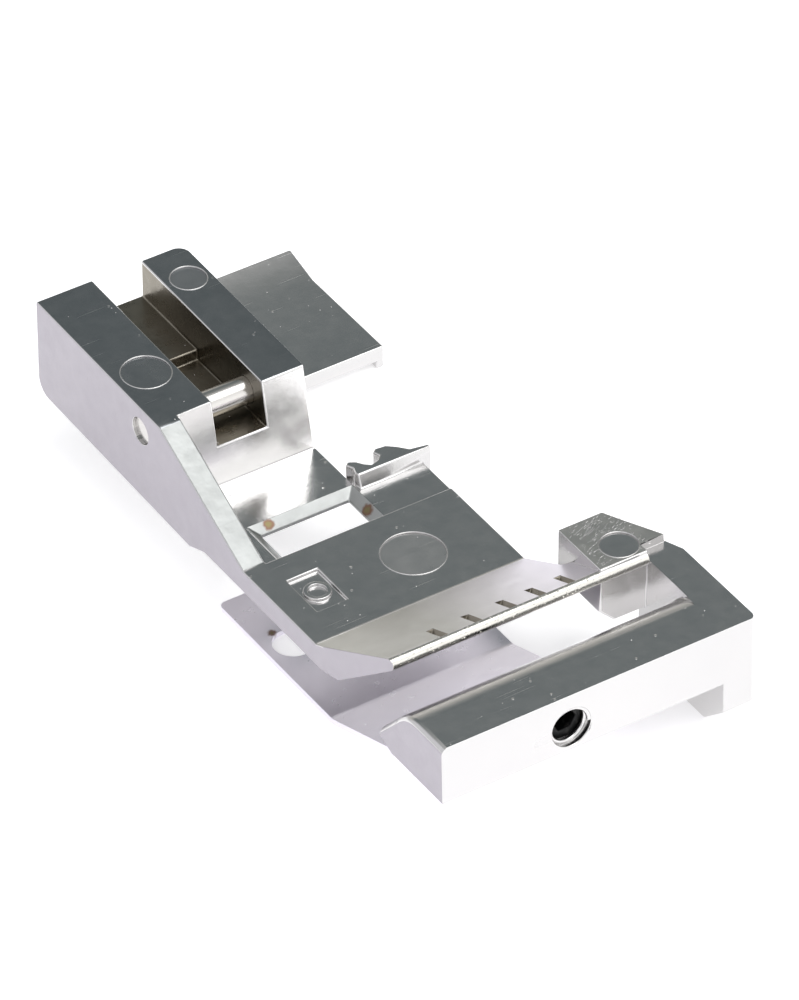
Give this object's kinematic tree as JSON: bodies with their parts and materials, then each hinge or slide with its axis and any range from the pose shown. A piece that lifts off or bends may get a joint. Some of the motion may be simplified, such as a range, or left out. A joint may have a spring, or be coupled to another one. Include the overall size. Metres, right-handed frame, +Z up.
{
  "type": "sewing machine presser foot",
  "caption": "Cast clip-on gathering foot for an overlock machine: slotted rail block with cross pin, needle window, marked ramp, front bar and thin sole plate.",
  "frame": {"origin": "on the underside of the sole plate, below the middle of the needle window, at the back edge of the deck plate", "axes": "+Z up from the needle plate, +Y towards the back of the machine (the way the fabric travels), +X to the operator's right"},
  "size_m": [0.0247, 0.0573, 0.012],
  "materials": {
    "plated_casting": "polished zinc casting with bright nickel and chrome plating",
    "plated_sheet": "plated steel sheet",
    "pin_steel": "ground steel pin",
    "screw_steel": "black oxide on steel"
  },
  "bodies": {
    "root": {"foot_body": "plated_casting", "sole_plate": "plated_sheet", "cross_pin": "pin_steel", "set_screw": "screw_steel"}
  },
  "joints": []
}
